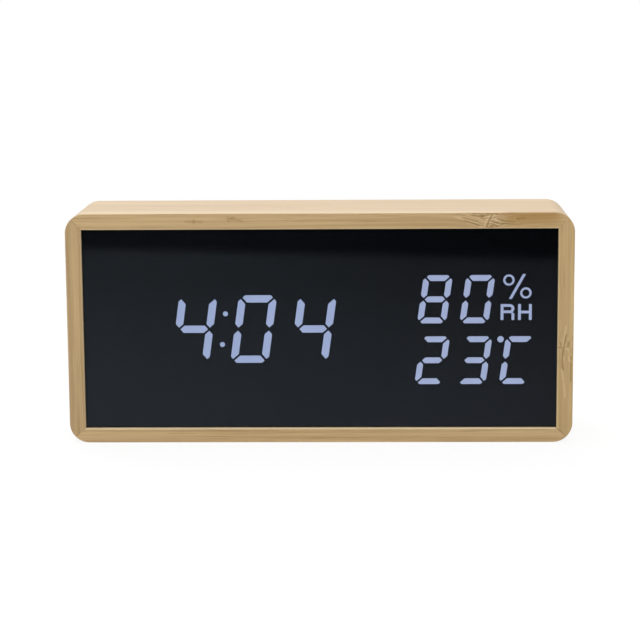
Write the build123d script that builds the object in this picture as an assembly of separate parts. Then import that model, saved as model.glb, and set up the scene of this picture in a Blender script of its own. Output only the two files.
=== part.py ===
from build123d import *
import math
import os

# A digital LED desk clock: a mitred bamboo case with a smoked lens in front, a segment display
# and two circuit boards inside, and a moulded rear cover with a battery bay, keys and a power socket.
# Millimetres. The clock stands on z = 0 with the origin under the middle of the case.
# The display faces -Y, and +X is to the right as seen from the front.

# Driving dimensions of the case
case_width = 150.0
case_height = 68.7
case_depth = 38.0
corner_radius = 5.8
board_thickness = 4.72
sill_thinning = 0.44
edge_bevel = 0.3
lip_height = 1.0
rabbet_width = 1.0

# The stack of pieces from the front edge of the case to its rear edge
lens_recess = 1.5
lens_thickness = 2.0
lens_air_gap = 0.2
mask_thickness = 0.3
reflector_depth = 6.0
display_board_thickness = 1.6
cover_thickness = 2.4
cover_recess = 1.0

# Fits that every piece shares
fit_clearance = 0.25
running_clearance = 0.15
cut_overrun = 1.0
pin_sides = 12
dot_sides = 20

front_y = -case_depth / 2
rear_y = case_depth / 2
lens_front_y = front_y + lens_recess
lens_back_y = lens_front_y + lens_thickness
mask_front_y = lens_back_y + lens_air_gap
mask_back_y = mask_front_y + mask_thickness
board_front_y = mask_back_y + reflector_depth
board_back_y = board_front_y + display_board_thickness
cover_back_y = rear_y - cover_recess
cover_seat_y = cover_back_y - cover_thickness

tube_wall = board_thickness - lip_height
rim_wall = tube_wall - rabbet_width
tube_half = case_width / 2 - tube_wall
tube_bottom_z = tube_wall - sill_thinning
tube_top_z = case_height - tube_wall
middle_z = case_height / 2
window_width = case_width - 2 * board_thickness
window_height = case_height - 2 * board_thickness

pieces = {}


def keep(name, shape):
    """Notes a finished piece under its node's name."""
    pieces[name] = shape


def rect(x_from, x_to, z_from, z_to):
    """A rectangle seen from the front, by its edges."""
    return Pos((x_from + x_to) / 2, (z_from + z_to) / 2) * Rectangle(x_to - x_from, z_to - z_from)


def outline_of(corners):
    """A face with these corners, given in either order round it."""
    doubled_area = sum(a[0] * b[1] - b[0] * a[1] for a, b in zip(corners, corners[1:] + corners[:1]))
    return Polygon(*(corners if doubled_area > 0 else corners[::-1]), align=None)


def disc(x, z, radius):
    """A circle seen from the front."""
    return Pos(x, z) * Circle(radius)


def prism(sketch, y_from, y_to):
    """A sketch seen from the front, carried from one depth to another."""
    rear = Plane(origin=(0, y_to, 0), x_dir=(1, 0, 0), z_dir=(0, -1, 0))
    return extrude(rear * sketch, amount=y_to - y_from)


def pin(x, z, radius):
    """A slim round pin seen from the front, many-sided and inside its circle."""
    return Pos(x, z) * RegularPolygon(radius, pin_sides)


def pin_hole(x, z, radius):
    """The hole for a slim pin, many-sided and clear of its circle."""
    return Pos(x, z) * RegularPolygon(radius, pin_sides, major_radius=False)


def dot(x, z, radius):
    """A round outline that repeats, many-sided and inside its circle."""
    return Pos(x, z) * RegularPolygon(radius, dot_sides)


def opening(wall):
    """The rectangle that walls of this thickness leave inside the case, above its thinner sill."""
    return rect(wall - case_width / 2, case_width / 2 - wall, wall - sill_thinning, case_height - wall)


def group(shapes):
    """Separate solids that share one node."""
    return Compound(children=[solid for shape in shapes for solid in shape.solids()])


# Bamboo boards: four strips with a front lip and a rear rabbet, mitred and glued at the corners
def bamboo_boards():
    outline = Pos(0, middle_z) * RectangleRounded(case_width, case_height, corner_radius)
    ring = prism(outline, front_y, rear_y)
    faces = ring.faces().sort_by(Axis.Y)
    ring = chamfer(faces[0].edges() + faces[-1].edges(), edge_bevel)
    ring -= prism(opening(board_thickness), front_y - cut_overrun, lens_front_y)
    ring -= prism(opening(tube_wall), lens_front_y, cover_seat_y)
    ring -= prism(opening(rim_wall), cover_seat_y, rear_y + cut_overrun)
    far_x, high_z, low_z = case_width / 2 + cut_overrun, case_height + cut_overrun, -cut_overrun
    spine_x = case_width / 2 - middle_z
    left_end, right_end = (-spine_x, middle_z), (spine_x, middle_z)
    mitres = {
        "top_board": [(-far_x, high_z), (far_x, high_z), right_end, left_end],
        "bottom_board": [(-far_x, low_z), (far_x, low_z), right_end, left_end],
        "left_board": [(-far_x, high_z), left_end, (-far_x, low_z)],
        "right_board": [(far_x, high_z), right_end, (far_x, low_z)],
    }
    for name, corners in mitres.items():
        keep(name, ring & prism(outline_of(corners), front_y - cut_overrun, rear_y + cut_overrun))


# Lens: a smoked acrylic sheet, dropped in from behind against the front lip
def front_lens():
    keep("front_lens", prism(opening(tube_wall + fit_clearance), lens_front_y, lens_back_y))


# Corner blocks: glued into the tube, each bears on the lens with a ridge that the lip hides,
# clamps the mask under it and takes a long cover screw
block_side = 9.0
lens_ridge = 0.7
cover_screw_radius = 1.25
screw_x = tube_half - block_side / 2
screw_low_z = tube_bottom_z + block_side / 2
screw_high_z = tube_top_z - block_side / 2
screw_places = [(side * screw_x, z) for side in (-1, 1) for z in (screw_low_z, screw_high_z)]


def block_square(x, z, margin):
    """A corner block's outline, with a margin all round."""
    reach = block_side / 2 + margin
    return rect(x - reach, x + reach, z - reach, z + reach)


def ridge_outline(x, z, margin):
    """The ridge along a block's two outer edges, with a margin on its inner side."""
    return block_square(x, z, margin) - opening(tube_wall + lens_ridge + margin)


def corner_blocks():
    blocks = []
    for x, z in screw_places:
        outline = block_square(x, z, 0) - pin_hole(x, z, cover_screw_radius + running_clearance)
        ridge = prism(ridge_outline(x, z, 0), lens_back_y, mask_back_y)
        blocks.append(prism(outline, mask_back_y, board_front_y) + ridge)
    keep("corner_blocks", group(blocks))


# Segment digits: seven bars with mitred ends, leaning to the right
digit_lean = math.tan(math.radians(8))
lit_bars = {" ": "", "0": "abcdef", "2": "abged", "3": "abgcd", "4": "fgbc", "8": "abcdefg", "C": "afed"}
all_bars = "abcdefg"
unit_bars = "adefg"

# Time digits, laid out as shares of the window in the front lip
time_width_share = 0.0812
time_height_share = 0.345
time_pitch_share = 0.1261
time_x_share = -0.2037
time_drop_share = 0.0093
time_stroke = 2.25
time_gap = 0.62
time_chamfer = 1.9
colon_radius = 0.77
colon_rise_share = 0.2265
colon_lean_share = 0.78
colon_lean = digit_lean * colon_lean_share
time_width = window_width * time_width_share
time_height = window_height * time_height_share
time_pitch = window_width * time_pitch_share
time_x = window_width * time_x_share
time_z = middle_z - window_height * time_drop_share

# Humidity and temperature digits
climate_width_share = 0.0613
climate_height_share = 0.2445
climate_pitch_share = 0.0894
climate_stroke = 1.8
climate_gap = 0.54
climate_chamfer = 1.5
humidity_x_share = 0.2428
humidity_rise_share = 0.1394
temperature_x_share = 0.2374
temperature_drop_share = 0.1704
degree_radius = 0.97
degree_reach_share = 0.3865
degree_rise_share = 0.436
climate_width = window_width * climate_width_share
climate_height = window_height * climate_height_share
climate_pitch = window_width * climate_pitch_share
humidity_x = window_width * humidity_x_share
humidity_z = middle_z + window_height * humidity_rise_share
temperature_x = window_width * temperature_x_share
temperature_z = middle_z - window_height * temperature_drop_share

# Humidity unit: a percent sign over two letters
percent_x_share = 0.4162
percent_rise_share = 0.203
percent_height_share = 0.126
percent_ring_rise_share = 0.0325
percent_run = 4.12
percent_stroke = 0.95
percent_ring_radius = 1.7
percent_ring_stroke = 0.65
percent_ring_reach = 2.52
letters_x_share = 0.4141
letters_rise_share = 0.0739
letter_height_share = 0.0812
letter_bowl_share = 0.57
letter_pitch = 5.15
letter_width = 4.08
letter_stroke = 0.86
mark_margin = 0.3
percent_x = window_width * percent_x_share
percent_z = middle_z + window_height * percent_rise_share
percent_height = window_height * percent_height_share
percent_ring_rise = window_height * percent_ring_rise_share
letters_x = window_width * letters_x_share
letters_z = middle_z + window_height * letters_rise_share
letter_height = window_height * letter_height_share


def digit_bars(x, z, bars, width, height, stroke, gap, chamfer):
    """The outlines of a digit's named bars, with the middle point of each."""
    half_w, half_h, half_s = width / 2, height / 2, stroke / 2
    shift = gap / math.sqrt(2)
    flat = [
        (half_w - chamfer, half_h),
        (half_w - (chamfer + shift) / 2, half_h - (chamfer - shift) / 2),
        (half_w - stroke - shift, half_h - stroke),
    ]
    inner_w = half_w - stroke - shift
    middle = [(inner_w, half_s), (inner_w + half_s, 0), (inner_w, -half_s)]
    upright = [
        (half_w, half_h - chamfer),
        (half_w, shift + half_s),
        (half_w - half_s, shift),
        (half_w - stroke, shift + half_s),
        (half_w - stroke, half_h - stroke - shift),
        (half_w - (chamfer - shift) / 2, half_h - (chamfer + shift) / 2),
    ]
    top = flat + [(-u, v) for u, v in reversed(flat)]
    shapes = {
        "a": top,
        "d": [(u, -v) for u, v in top],
        "g": middle + [(-u, v) for u, v in reversed(middle)],
        "b": upright,
        "c": [(u, -v) for u, v in upright],
        "f": [(-u, v) for u, v in upright],
        "e": [(-u, -v) for u, v in upright],
    }
    found = []
    for bar in bars:
        points = [(x + u + v * digit_lean, z + v) for u, v in shapes[bar]]
        centre = (sum(p[0] for p in points) / len(points), sum(p[1] for p in points) / len(points))
        found.append((bar, outline_of(points), centre))
    return found


def digit_row(x, z, pitch, shown, present, sizes):
    """A row of digits, as bars that are lit and bars that stay dark."""
    lit, dark = [], []
    for place, (character, bars) in enumerate(zip(shown, present)):
        for bar, outline, centre in digit_bars(x + place * pitch, z, bars, *sizes):
            (lit if bar in lit_bars[character] else dark).append((outline, centre))
    return lit, dark


def time_lights():
    sizes = (time_width, time_height, time_stroke, time_gap, time_chamfer)
    first_x = time_x - time_pitch * 3 / 2
    lit, dark = digit_row(first_x, time_z, time_pitch, " 404", [all_bars] * 4, sizes)
    for side in (-1, 1):
        rise = side * time_height * colon_rise_share
        centre = (time_x + rise * colon_lean, time_z + rise)
        lit.append((dot(*centre, colon_radius), centre))
    return lit, dark


def climate_lights():
    sizes = (climate_width, climate_height, climate_stroke, climate_gap, climate_chamfer)
    lit, dark = digit_row(humidity_x, humidity_z, climate_pitch, "80", [all_bars] * 2, sizes)
    degrees = [all_bars, all_bars, unit_bars]
    more_lit, more_dark = digit_row(temperature_x, temperature_z, climate_pitch, "23C", degrees, sizes)
    dot_x = temperature_x + climate_pitch * (2 - degree_reach_share)
    centre = (dot_x, temperature_z + climate_height * degree_rise_share)
    more_lit.append((dot(*centre, degree_radius), centre))
    return lit + more_lit, dark + more_dark


def percent_sign():
    half_run, half_h, half_s = percent_run / 2, percent_height / 2, percent_stroke / 2
    slash = [
        (percent_x - half_run - half_s, percent_z - half_h),
        (percent_x - half_run + half_s, percent_z - half_h),
        (percent_x + half_run + half_s, percent_z + half_h),
        (percent_x + half_run - half_s, percent_z + half_h),
    ]
    shapes = [outline_of(slash)]
    for side in (-1, 1):
        place = (percent_x + side * percent_ring_reach, percent_z - side * percent_ring_rise)
        ring = dot(*place, percent_ring_radius) - dot(*place, percent_ring_radius - percent_ring_stroke)
        shapes.append(ring)
    return shapes


def unit_letters():
    """The letters R and H, drawn in plain strokes."""
    low, high = letters_z - letter_height / 2, letters_z + letter_height / 2
    half_w, stroke = letter_width / 2, letter_stroke
    x = letters_x - letter_pitch / 2
    bowl_low = high - letter_height * letter_bowl_share
    bowl_r = (high - bowl_low) / 2
    bowl_x = x + half_w - bowl_r
    r_shape = rect(x - half_w, bowl_x, bowl_low, high) + disc(bowl_x, high - bowl_r, bowl_r)
    counter = rect(x - half_w + stroke, bowl_x, bowl_low + stroke, high - stroke)
    counter += disc(bowl_x, high - bowl_r, bowl_r - stroke)
    r_shape = r_shape - counter + rect(x - half_w, x - half_w + stroke, low, high)
    r_shape += rect(x + half_w - stroke, x + half_w, low, bowl_low)
    r_shape += rect(bowl_x, x + half_w - stroke / 2, bowl_low, bowl_low + stroke)
    x = letters_x + letter_pitch / 2
    h_shape = rect(x - half_w, x + half_w, letters_z - stroke / 2, letters_z + stroke / 2)
    for edge in (x - half_w, x + half_w - stroke):
        h_shape += rect(edge, edge + stroke, low, high)
    return [r_shape, h_shape]


def mark_windows():
    """The two plain windows behind the percent sign and the letters."""
    percent_half = (percent_ring_reach + percent_ring_radius, percent_height / 2)
    letters_half = ((letter_pitch + letter_width) / 2, letter_height / 2)
    windows = []
    marks = ((percent_x, percent_z, percent_half), (letters_x, letters_z, letters_half))
    for x, z, (half_w, half_h) in marks:
        reach, rise = half_w + mark_margin, half_h + mark_margin
        windows.append((rect(x - reach, x + reach, z - rise, z + rise), (x, z)))
    return windows


# Display: a printed mask over a reflector whose wells hold milky bars, lit from a board behind
diffuser_depth = 2.5
led_length = 1.0
led_width = 0.6
led_height = 0.5
peg_radius = 1.0
peg_length = 2.4
peg_x = 27.0
peg_inset = 4.0
peg_places = [
    (side * peg_x, z) for side in (-1, 1) for z in (tube_bottom_z + peg_inset, tube_top_z - peg_inset)
]


def display_outline():
    """The inside of the case, less the corner blocks."""
    outline = opening(tube_wall + fit_clearance)
    for x, z in screw_places:
        outline -= block_square(x, z, fit_clearance)
    return outline


def display():
    time_lit, time_dark = time_lights()
    climate_lit, climate_dark = climate_lights()
    marks = mark_windows()
    bars = time_lit + time_dark + climate_lit + climate_dark
    windows = [outline for outline, centre in bars] + percent_sign() + unit_letters()
    wells = [outline for outline, centre in bars + marks]
    film = opening(tube_wall + fit_clearance) - windows
    for x, z in screw_places:
        film -= ridge_outline(x, z, fit_clearance)
    keep("display_mask", group([prism(film, mask_front_y, mask_back_y)]))
    reflector = prism(display_outline() - wells, mask_back_y, board_front_y)
    for x, z in peg_places:
        reflector += prism(pin(x, z, peg_radius), board_front_y, board_front_y + peg_length)
    keep("display_reflector", reflector)
    for name, lights in (
        ("time_segments", time_lit),
        ("climate_segments", climate_lit + marks),
        ("dark_segments", time_dark + climate_dark),
    ):
        solids = [prism(outline, mask_back_y, mask_back_y + diffuser_depth) for outline, centre in lights]
        keep(name, group(solids))
    chips = []
    for outline, (x, z) in bars + marks:
        chip = rect(x - led_length / 2, x + led_length / 2, z - led_width / 2, z + led_width / 2)
        chips.append(prism(chip, board_front_y - led_height, board_front_y))
    keep("led_chips", group(chips))


# Display board: the main circuit board, held by the cover's screws and the reflector's pegs
def display_board():
    board = opening(tube_wall + fit_clearance)
    for x, z in screw_places:
        board -= pin_hole(x, z, cover_screw_radius + running_clearance)
    for x, z in peg_places:
        board -= pin_hole(x, z, peg_radius + running_clearance)
    keep("display_board", prism(board, board_front_y, board_back_y))


# Controller: a flat package with gull-wing legs on two sides
chip_length = 17.9
chip_width = 7.5
chip_height = 2.3
chip_standoff = 0.2
chip_inset = 29.2
chip_rise = 9.65
chip_bevel = 0.4
leg_count = 14
leg_pitch = 1.27
leg_width = 0.45
leg_reach = 1.4
leg_thickness = 0.25
leg_rise = 1.1
chip_x = chip_inset - tube_half
chip_z = middle_z + chip_rise


def controller():
    low_y = board_back_y + chip_standoff
    half_l, half_w = chip_length / 2, chip_width / 2
    outline = rect(chip_x - half_l, chip_x + half_l, chip_z - half_w, chip_z + half_w)
    body = prism(outline, low_y, low_y + chip_height)
    body = chamfer(body.faces().sort_by(Axis.Y)[-1].edges(), chip_bevel)
    keep("controller_chip", body)
    legs = []
    for side in (-1, 1):
        root_z = chip_z + side * chip_width / 2
        toe_z = root_z + side * leg_reach
        knee_z = root_z + side * leg_thickness
        for number in range(leg_count):
            x = chip_x + (number - (leg_count - 1) / 2) * leg_pitch
            riser = rect(x - leg_width / 2, x + leg_width / 2, min(root_z, knee_z), max(root_z, knee_z))
            foot = rect(x - leg_width / 2, x + leg_width / 2, min(root_z, toe_z), max(root_z, toe_z))
            leg = prism(riser, board_back_y, board_back_y + leg_rise)
            legs.append(leg + prism(foot, board_back_y, board_back_y + leg_thickness))
    keep("chip_legs", group(legs))


# Crystal: a small can lying on the board, on two square bent leads
crystal_radius = 1.0
crystal_length = 6.0
crystal_gap = 3.0
crystal_lead_side = 0.4
crystal_lead_reach = 1.6
crystal_bevel = 0.3
crystal_x = chip_x
crystal_z = chip_z - chip_width / 2 - leg_reach - crystal_gap


def crystal():
    y = board_back_y + running_clearance + crystal_radius
    can = Pos(crystal_x, y, crystal_z) * Rot(0, 90, 0) * Cylinder(crystal_radius, crystal_length)
    can = chamfer(can.faces().sort_by(Axis.X)[0].edges(), crystal_bevel)
    end_x = crystal_x + crystal_length / 2
    for side in (-1, 1):
        z, half = crystal_z + side * crystal_radius / 2, crystal_lead_side / 2
        foot_x = end_x + crystal_lead_reach
        can += prism(rect(end_x, foot_x, z - half, z + half), y - half, y + half)
        can += prism(rect(foot_x - 2 * half, foot_x, z - half, z + half), board_back_y, y)
    keep("crystal", can)


# Capacitor: a sleeved can with a crimped waist, standing on the board
capacitor_radius = 2.5
capacitor_height = 8.0
capacitor_inset = 29.2
capacitor_drop = 8.35
capacitor_waist = 0.3
capacitor_bevel = 0.4
capacitor_x = tube_half - capacitor_inset
capacitor_z = middle_z - capacitor_drop


def capacitor():
    radius, waist = capacitor_radius, capacitor_waist
    profile = [
        (0, 0),
        (radius - waist, 0),
        (radius, waist),
        (radius, 2 * waist),
        (radius - waist, 3 * waist),
        (radius, 4 * waist),
        (radius, capacitor_height),
        (0, capacitor_height),
    ]
    can = revolve(Plane.XZ * outline_of(profile), Axis.Z)
    can = chamfer(can.edges().sort_by(Axis.Z)[-1], capacitor_bevel)
    keep("capacitor", Pos(capacitor_x, board_back_y, capacitor_z) * Rot(-90, 0, 0) * can)


# Batteries: cells side by side across the clock, turned end for end in series
cell_diameter = 10.5
cell_length = 44.5
cell_count = 3
cell_gap = 0.6
cell_lift = 1.3
cell_clearance = 0.3
cell_bevel = 0.5
cell_sides = 32
nub_radius = 1.9
nub_height = 0.8
spring_space = 5.0
plate_space = 0.7

bay_wall = 1.8
bay_boss_gap = 1.0
boss_radius = 3.0
door_thickness = 1.6
door_ledge = 0.9
cell_pitch = cell_diameter + cell_gap
bay_half = (cell_length + spring_space + plate_space) / 2
bay_x = boss_radius + bay_boss_gap + bay_wall + bay_half - screw_x
bay_height = cell_lift + cell_count * cell_pitch
bay_low_z = middle_z - bay_height / 2
bay_high_z = middle_z + bay_height / 2
door_seat_y = cover_back_y - door_thickness
bay_floor_y = door_seat_y - 2 * cell_clearance - cell_diameter
cell_y = bay_floor_y + cell_clearance + cell_diameter / 2
cell_rows = [bay_low_z + cell_lift + cell_diameter / 2 + row * cell_pitch for row in range(cell_count)]
cell_turns = [1 if row % 2 == 0 else -1 for row in range(cell_count)]


def cells():
    can = extrude(RegularPolygon(cell_diameter / 2, cell_sides), amount=cell_length - nub_height)
    can = chamfer(can.faces().sort_by(Axis.Z)[-1].edges(), cell_bevel)
    cell = can + extrude(RegularPolygon(nub_radius, pin_sides), amount=cell_length)
    for row, (z, turn) in enumerate(zip(cell_rows, cell_turns)):
        start_x = bay_x + turn * (spring_space - bay_half)
        keep(f"aaa_cell_{row + 1}", Pos(start_x, cell_y, z) * Rot(0, 90 * turn, 0) * cell)


# Battery contacts: plated sheet in the bay's ends, with a coil spring under each flat cell end
contact_thickness = 0.4
contact_half = 4.2
tab_height = 2.0
tab_reach = 3.0
spring_wire = 0.6
spring_base_radius = 3.6
spring_top_radius = 2.3
spring_turns = 3
wire_sides = 4
control_thickness = 1.2


def contact_plate(side, rows, tab_row):
    """A sheet against one end of the bay, with a solder tab through the wall where a lead joins."""
    wall_x = bay_x + side * bay_half
    face_x = wall_x - side * contact_thickness
    low_z, high_z = cell_rows[rows[0]] - contact_half, cell_rows[rows[-1]] + contact_half
    sheet = rect(min(wall_x, face_x), max(wall_x, face_x), low_z, high_z)
    plate = prism(sheet, cell_y - contact_half, cell_y + contact_half)
    if tab_row is not None:
        z = cell_rows[tab_row]
        end_x = wall_x + side * (bay_wall + tab_reach)
        tab = rect(min(face_x, end_x), max(face_x, end_x), z - tab_height / 2, z + tab_height / 2)
        plate += prism(tab, lead_y - contact_thickness / 2, lead_y + contact_thickness / 2)
    return plate


def spring_path():
    """A conical coil as biarcs of a quarter turn each, and the points that they join."""
    quarter_turns = 4 * spring_turns
    low = spring_wire / 2
    rise = spring_space - contact_thickness - spring_wire - 2 * running_clearance

    def place(share):
        radius = spring_base_radius + (spring_top_radius - spring_base_radius) * share
        angle = 2 * math.pi * spring_turns * share
        height = low + running_clearance + rise * share
        return Vector(radius * math.cos(angle), radius * math.sin(angle), height)

    def heading(share):
        radius = spring_base_radius + (spring_top_radius - spring_base_radius) * share
        angle = 2 * math.pi * spring_turns * share
        sweep_rate = 2 * math.pi * spring_turns * radius
        shrink = spring_top_radius - spring_base_radius
        return Vector(
            shrink * math.cos(angle) - sweep_rate * math.sin(angle),
            shrink * math.sin(angle) + sweep_rate * math.cos(angle),
            rise,
        ).normalized()

    arcs = []
    for number in range(quarter_turns):
        start, end = number / quarter_turns, (number + 1) / quarter_turns
        p1, p2, t1, t2 = place(start), place(end), heading(start), heading(end)
        chord, tangents = p2 - p1, t1 + t2
        a = 2 * (1 - t1.dot(t2))
        b = 2 * chord.dot(tangents)
        reach = (math.sqrt(b * b + 4 * a * chord.dot(chord)) - b) / (2 * a)
        join = (p1 + t1 * reach + p2 - t2 * reach) * 0.5
        first = TangentArc(p1, join, tangent=t1)
        arcs += [first, TangentArc(join, p2, tangent=first % 1)]
    points = [place(step / (12 * quarter_turns)) for step in range(12 * quarter_turns + 1)]
    return Wire(arcs), points, heading(0)


def contacts():
    wire, points, start_heading = spring_path()
    apart = 12
    least = min(
        (points[i] - points[j]).length
        for i in range(len(points))
        for j in range(i + 2 * apart, len(points))
    )
    print("battery spring: least gap between turns", round(least - spring_wire, 3))
    section = Plane(origin=points[0], z_dir=start_heading) * RegularPolygon(spring_wire / 2, wire_sides)
    coil = sweep(section, wire)
    springs = []
    for z, turn in zip(cell_rows, cell_turns):
        seat_x = bay_x + turn * (contact_thickness - bay_half)
        springs.append(Pos(seat_x, cell_y, z) * Rot(0, 90 * turn, 0) * coil)
    keep("contact_springs", group(springs))
    last = cell_count - 1
    keep("negative_contact", contact_plate(-1, [0], 0))
    keep("left_bridge", contact_plate(-1, [1, last], None))
    keep("right_bridge", contact_plate(1, [0, 1], None))
    keep("positive_contact", contact_plate(1, [last], last))


# Keys: three caps that slide in the rear cover and press tactile switches on the control board
key_names = ("set", "up", "down")
key_pitch = 14.0
key_radius = 3.5
key_proud = 0.5
key_bevel = 0.5
key_flange = 0.9
key_flange_thickness = 1.0
key_stem_radius = 1.6
key_stem_length = 0.8
key_travel = 0.5
switch_side = 6.0
switch_body_height = 3.5
switch_height = 5.0
plunger_radius = 1.7
plunger_depth = 1.4
travel_room = 0.4

switch_floor = switch_body_height - plunger_depth - key_travel - travel_room
key_flange_back_y = cover_seat_y - running_clearance
key_flange_front_y = key_flange_back_y - key_flange_thickness
plunger_top_y = key_flange_front_y - key_stem_length
control_back_y = plunger_top_y - switch_height
control_front_y = control_back_y - control_thickness
lead_y = (control_back_y + control_front_y) / 2

control_height = 26.0
control_bay_gap = 8.0
control_boss_gap = 2.0
row_rise = 7.0
control_left_x = bay_x + bay_half + bay_wall + control_bay_gap
control_right_x = screw_x - boss_radius - control_boss_gap
control_x = (control_left_x + control_right_x) / 2
upper_row_z = middle_z + row_rise
lower_row_z = middle_z - row_rise
key_places = [(control_x + (1 - number) * key_pitch, lower_row_z) for number in range(len(key_names))]


def keys():
    bodies = []
    plunger_foot_y = control_back_y + switch_body_height - plunger_depth
    for name, (x, z) in zip(key_names, key_places):
        cap = prism(dot(x, z, key_radius), key_flange_back_y, cover_back_y + key_proud)
        cap = chamfer(cap.faces().sort_by(Axis.Y)[-1].edges(), key_bevel)
        cap += prism(pin_hole(x, z, key_radius + key_flange), key_flange_front_y, key_flange_back_y)
        cap += prism(pin(x, z, key_stem_radius), plunger_top_y, key_flange_front_y)
        keep(f"{name}_button", cap)
        keep(f"{name}_plunger", prism(pin(x, z, plunger_radius), plunger_foot_y, plunger_top_y))
        half = switch_side / 2
        square = rect(x - half, x + half, z - half, z + half)
        body = prism(square, control_back_y, control_back_y + switch_body_height)
        bore = pin_hole(x, z, plunger_radius + running_clearance)
        body -= prism(bore, control_back_y + switch_floor, control_back_y + switch_body_height + cut_overrun)
        bodies.append(body)
    keep("switch_bodies", group(bodies))


# Sensors: a vented humidity cell and a bead thermistor, in a chamber behind the cover's vents
sensor_length = 8.0
sensor_width = 7.0
sensor_height = 4.5
sensor_wall = 0.8
sensor_slot_count = 3
sensor_slot_width = 1.0
sensor_inset = 6.5
chamber_room = 0.6
chamber_wall = 1.0
thermistor_radius = 1.1
thermistor_lead_side = 0.4
sensor_x = control_left_x + sensor_inset
thermistor_x = sensor_x + sensor_length / 2 + chamber_room + thermistor_radius
chamber_left_x = sensor_x - sensor_length / 2 - chamber_room
chamber_right_x = thermistor_x + thermistor_radius + chamber_room
chamber_half = sensor_width / 2 + chamber_room


def sensors():
    low_y, high_y = control_back_y, control_back_y + sensor_height
    low_z, high_z = upper_row_z - sensor_width / 2, upper_row_z + sensor_width / 2
    half_l = sensor_length / 2
    case = prism(rect(sensor_x - half_l, sensor_x + half_l, low_z, high_z), low_y, high_y)
    inner_l, inner_low, inner_high = half_l - sensor_wall, low_z + sensor_wall, high_z - sensor_wall
    hollow = rect(sensor_x - inner_l, sensor_x + inner_l, inner_low, inner_high)
    case -= prism(hollow, low_y + sensor_wall, high_y - sensor_wall)
    for number in range(sensor_slot_count):
        left_x = sensor_x + (2 * number - sensor_slot_count + 1) * sensor_slot_width - sensor_slot_width / 2
        slot = rect(left_x, left_x + sensor_slot_width, inner_low, inner_high)
        case -= prism(slot, high_y - sensor_wall - running_clearance, high_y + cut_overrun)
    keep("humidity_sensor", case)
    waist, taper = thermistor_radius, thermistor_radius / 2
    bead = prism(pin(thermistor_x, upper_row_z, waist), high_y - 2 * waist, high_y)
    bead = chamfer(bead.faces().sort_by(Axis.Y)[-1].edges(), taper)
    for side in (-1, 1):
        z, half = upper_row_z + side * taper, thermistor_lead_side / 2
        lead = rect(thermistor_x - half, thermistor_x + half, z - half, z + half)
        bead += prism(lead, control_back_y, high_y - 2 * waist)
    keep("thermistor", bead)


# Buzzer: a round sounder on the control board, under the cover's sound holes
buzzer_radius = 4.6
buzzer_height = 5.4
buzzer_hole_radius = 1.2
buzzer_inset = 5.6
buzzer_bevel = 0.4
buzzer_x = control_right_x - buzzer_inset


def buzzer():
    body = prism(disc(buzzer_x, upper_row_z, buzzer_radius), control_back_y, control_back_y + buzzer_height)
    body = chamfer(body.faces().sort_by(Axis.Y)[-1].edges(), buzzer_bevel)
    sound = pin_hole(buzzer_x, upper_row_z, buzzer_hole_radius)
    body -= prism(sound, control_back_y + buzzer_height / 2, control_back_y + buzzer_height + cut_overrun)
    keep("buzzer", body)


# Power socket: a rolled steel shell around a contact tongue, between the sensors and the buzzer
socket_width = 8.94
socket_height = 3.26
socket_wall = 0.3
socket_recess = 0.6
tongue_width = 6.7
tongue_thickness = 0.7
tongue_setback = 0.9
socket_base = 2.0
socket_room = 0.35
socket_x = (chamber_right_x + chamber_wall + buzzer_x - buzzer_radius) / 2


def power_socket():
    mouth_y = cover_back_y - socket_recess
    place = Pos(socket_x, upper_row_z)
    bore_width, bore_height = socket_width - 2 * socket_wall, socket_height - 2 * socket_wall
    shell = place * SlotOverall(socket_width, socket_height) - place * SlotOverall(bore_width, bore_height)
    keep("socket_shell", prism(shell, control_back_y, mouth_y))
    base = place * SlotOverall(bore_width - 2 * running_clearance, bore_height - 2 * running_clearance)
    tongue = prism(base, control_back_y, control_back_y + socket_base)
    blade = place * Rectangle(tongue_width, tongue_thickness)
    tongue += prism(blade, control_back_y, mouth_y - tongue_setback)
    keep("socket_tongue", tongue)


# Control board: carries the switches, socket, sensors and buzzer, screwed to the rear cover
control_screw_radius = 0.9
control_screw_inset = 3.0
control_screw_length = 6.0
control_head_radius = 1.8
control_head_height = 1.3
control_boss_radius = 2.2
control_screw_places = [
    (control_left_x + control_screw_inset, middle_z),
    (control_right_x - control_screw_inset, middle_z),
]


def control_board():
    half_h = control_height / 2
    board = rect(control_left_x, control_right_x, middle_z - half_h, middle_z + half_h)
    screws = []
    for x, z in control_screw_places:
        board -= pin_hole(x, z, control_screw_radius + running_clearance)
        tip_y, top_y = control_front_y + control_screw_length, control_front_y - control_head_height
        shank = prism(pin(x, z, control_screw_radius), control_front_y, tip_y)
        head = prism(pin(x, z, control_head_radius), top_y, control_front_y)
        head = chamfer(head.faces().sort_by(Axis.Y)[0].edges(), control_head_height / 3)
        screws.append(shank + head)
    keep("control_board", prism(board, control_front_y, control_back_y))
    keep("control_screws", group(screws))


# Wiring: a flat cable between the two boards, and a lead from each end of the battery
plug_length = 5.0
plug_height = 4.0
plug_width = 11.0
plug_inset = 7.0
ribbon_wires = 8
ribbon_pitch = 0.9
ribbon_thickness = 0.9
ribbon_groove = 0.25
ribbon_straight_share = 0.25
lead_radius = 0.6
lead_sides = 6
lead_bend = 2.6
lead_reach = 1.2
lead_inset = 4.0


def ribbon_section():
    """A row of wires side by side: a ridge for each wire on both faces."""
    half_w, half_t = ribbon_wires * ribbon_pitch / 2, ribbon_thickness / 2
    upper = [(-half_w, half_t - ribbon_groove)]
    for number in range(ribbon_wires):
        left = number * ribbon_pitch - half_w
        upper += [(left + ribbon_pitch / 2, half_t), (left + ribbon_pitch, half_t - ribbon_groove)]
    return outline_of(upper + [(u, -v) for u, v in reversed(upper)])


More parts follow.
